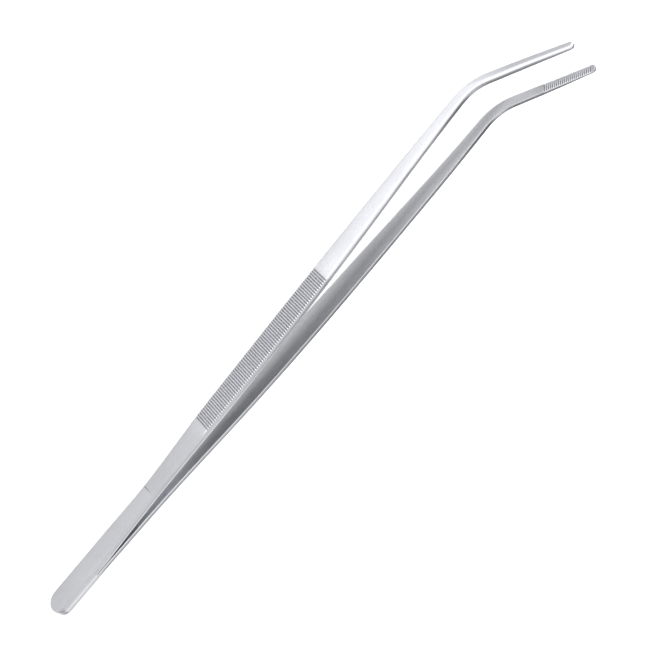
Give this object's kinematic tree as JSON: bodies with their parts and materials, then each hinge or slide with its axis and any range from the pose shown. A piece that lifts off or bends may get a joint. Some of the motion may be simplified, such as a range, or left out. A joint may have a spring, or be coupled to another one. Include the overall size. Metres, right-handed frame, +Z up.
{
  "type": "aquascaping tweezers",
  "caption": "Long stainless planting tweezers: two spring arms brazed together at a rounded butt, ribbed grips, slim noses and serrated jaws bent upwards.",
  "frame": {"origin": "bottom centre of the bounding box: midway between the butt end and the jaw ends, on the middle plane, at the height of the long edges the tool rests on", "axes": "+X from the butt to the jaws; Y is the opening direction, with the left arm at +Y; +Z up, the way the jaws bend"},
  "size_m": [0.27, 0.0192, 0.0288],
  "materials": {
    "spring_steel": "satin, finely brushed along the strips",
    "braze": "filler ground flush with the strips"
  },
  "bodies": {
    "butt": {"butt_left": "spring_steel", "butt_right": "spring_steel", "braze_layer": "braze"},
    "arm_left": {"arm_left": "spring_steel"},
    "arm_right": {"arm_right": "spring_steel"}
  },
  "joints": [
    {"name": "squeeze_left", "type": "hinge", "parent": "butt", "child": "arm_left", "pos_m": [-0.114, 0, 0.0045], "axis": [0, 0, -1], "range_deg": [0, 1.65], "stiffness_Nm_per_rad": 23},
    {"name": "squeeze_right", "type": "hinge", "parent": "butt", "child": "arm_right", "pos_m": [-0.114, 0, 0.0045], "axis": [0, 0, 1], "range_deg": [0, 1.65], "stiffness_Nm_per_rad": 23}
  ],
  "couplings": [
    {"joint": "squeeze_right", "follows": "squeeze_left", "ratio": 1}
  ]
}
